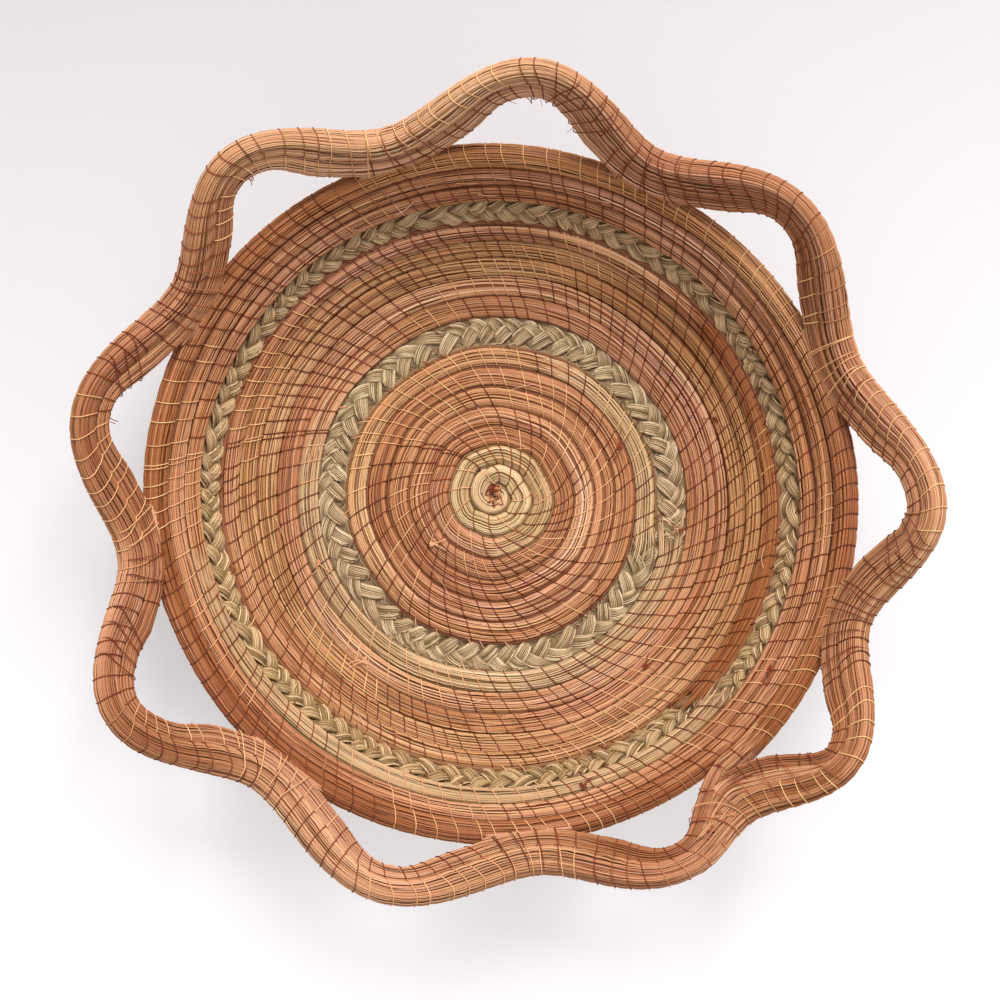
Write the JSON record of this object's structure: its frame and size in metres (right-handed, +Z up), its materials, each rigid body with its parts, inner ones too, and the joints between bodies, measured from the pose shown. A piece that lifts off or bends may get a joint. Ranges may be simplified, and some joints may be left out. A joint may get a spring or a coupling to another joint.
{
  "type": "coiled pine needle basket",
  "caption": "Shallow round bowl coiled from sewn bundles of pine needles, with two plaited rows and a scalloped openwork border, for holding small dry things.",
  "frame": {"origin": "on the underside, in the middle of the start knot, where the winding begins", "axes": "+Z is up out of the bowl's mouth; +X is the right and +Y the top of the picture, which looks straight down into the bowl"},
  "size_m": [0.2901, 0.2818, 0.0847],
  "materials": {
    "needle_brown": "dried brown pine needles, smooth and softly glossy",
    "needle_straw": "dried straw-coloured pine needles, smooth and softly glossy",
    "needle_pale": "pale dried pine needles, smooth and softly glossy",
    "needle_green": "dull green dried pine needles, some of them plaited",
    "thread": "waxed sewing fibre, dark red-brown and pale straw"
  },
  "bodies": {
    "root": {"start_knot": "thread", "start_coil": "needle_pale", "base_coil": "needle_brown", "straw_coil": "needle_straw", "green_lead_coil": "needle_green", "inner_braid": "needle_green", "green_foot_coil": "needle_green", "lower_wall_coil": "needle_brown", "straw_wall_coil": "needle_straw", "upper_wall_coil": "needle_brown", "olive_lead_coil": "needle_straw", "outer_braid": "needle_green", "green_wall_coil": "needle_green", "neck_coil": "needle_brown", "rim_coil": "needle_brown", "border_inner_coil": "needle_brown", "border_outer_coil": "needle_straw"}
  },
  "joints": []
}
